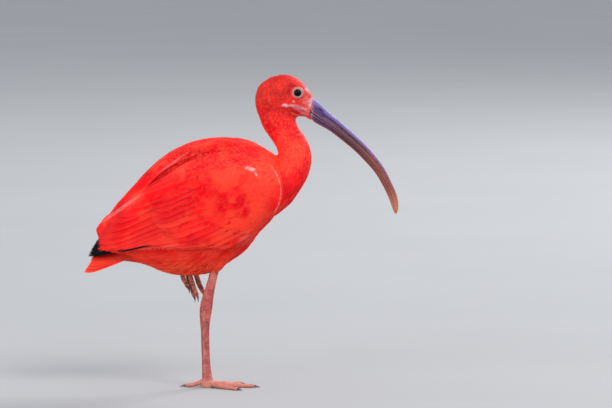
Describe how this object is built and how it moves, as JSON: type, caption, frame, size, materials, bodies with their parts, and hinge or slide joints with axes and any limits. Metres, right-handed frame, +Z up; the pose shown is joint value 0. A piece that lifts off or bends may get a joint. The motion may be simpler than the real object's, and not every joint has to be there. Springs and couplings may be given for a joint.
{
  "type": "scarlet ibis",
  "caption": "Life-size still model of a wading bird with a long down-curved bill, standing on one leg with the other tucked under its belly and its wings folded.",
  "frame": {"origin": "on the floor under the sole of the standing right foot", "axes": "+X the way the bird faces, +Y its left side, +Z up"},
  "size_m": [0.3604, 0.1184, 0.362],
  "materials": {
    "plumage": "soft matt scarlet feathers",
    "wing_feathers": "satin scarlet vanes",
    "black_feathers": "satin black vanes",
    "bill": "smooth dark horn, paler to the tip",
    "leg_skin": "scaled pinkish red skin",
    "claw": "dark horn",
    "eye": "wet and dark"
  },
  "bodies": {
    "root": {"torso": "plumage", "neck_lower": "plumage", "neck_upper": "plumage", "head": "plumage", "eye_right": "eye", "eye_left": "eye", "bill_upper": "bill", "bill_lower": "bill", "wing_right": "wing_feathers", "wing_left": "wing_feathers", "primaries_right": "black_feathers", "primaries_left": "black_feathers", "scapulars": "wing_feathers", "tail": "wing_feathers", "shank_right": "leg_skin", "tarsus_right": "leg_skin", "foot_right": "leg_skin", "toe_hind_right": "leg_skin", "toe_inner_right": "leg_skin", "toe_middle_right": "leg_skin", "toe_outer_right": "leg_skin", "claw_hind_right": "claw", "claw_inner_right": "claw", "claw_middle_right": "claw", "claw_outer_right": "claw", "shank_left": "leg_skin", "tarsus_left": "leg_skin", "toe_hind_left": "leg_skin", "toe_inner_left": "leg_skin", "toe_middle_left": "leg_skin", "toe_outer_left": "leg_skin", "claw_hind_left": "claw", "claw_inner_left": "claw", "claw_middle_left": "claw", "claw_outer_left": "claw"}
  },
  "joints": []
}
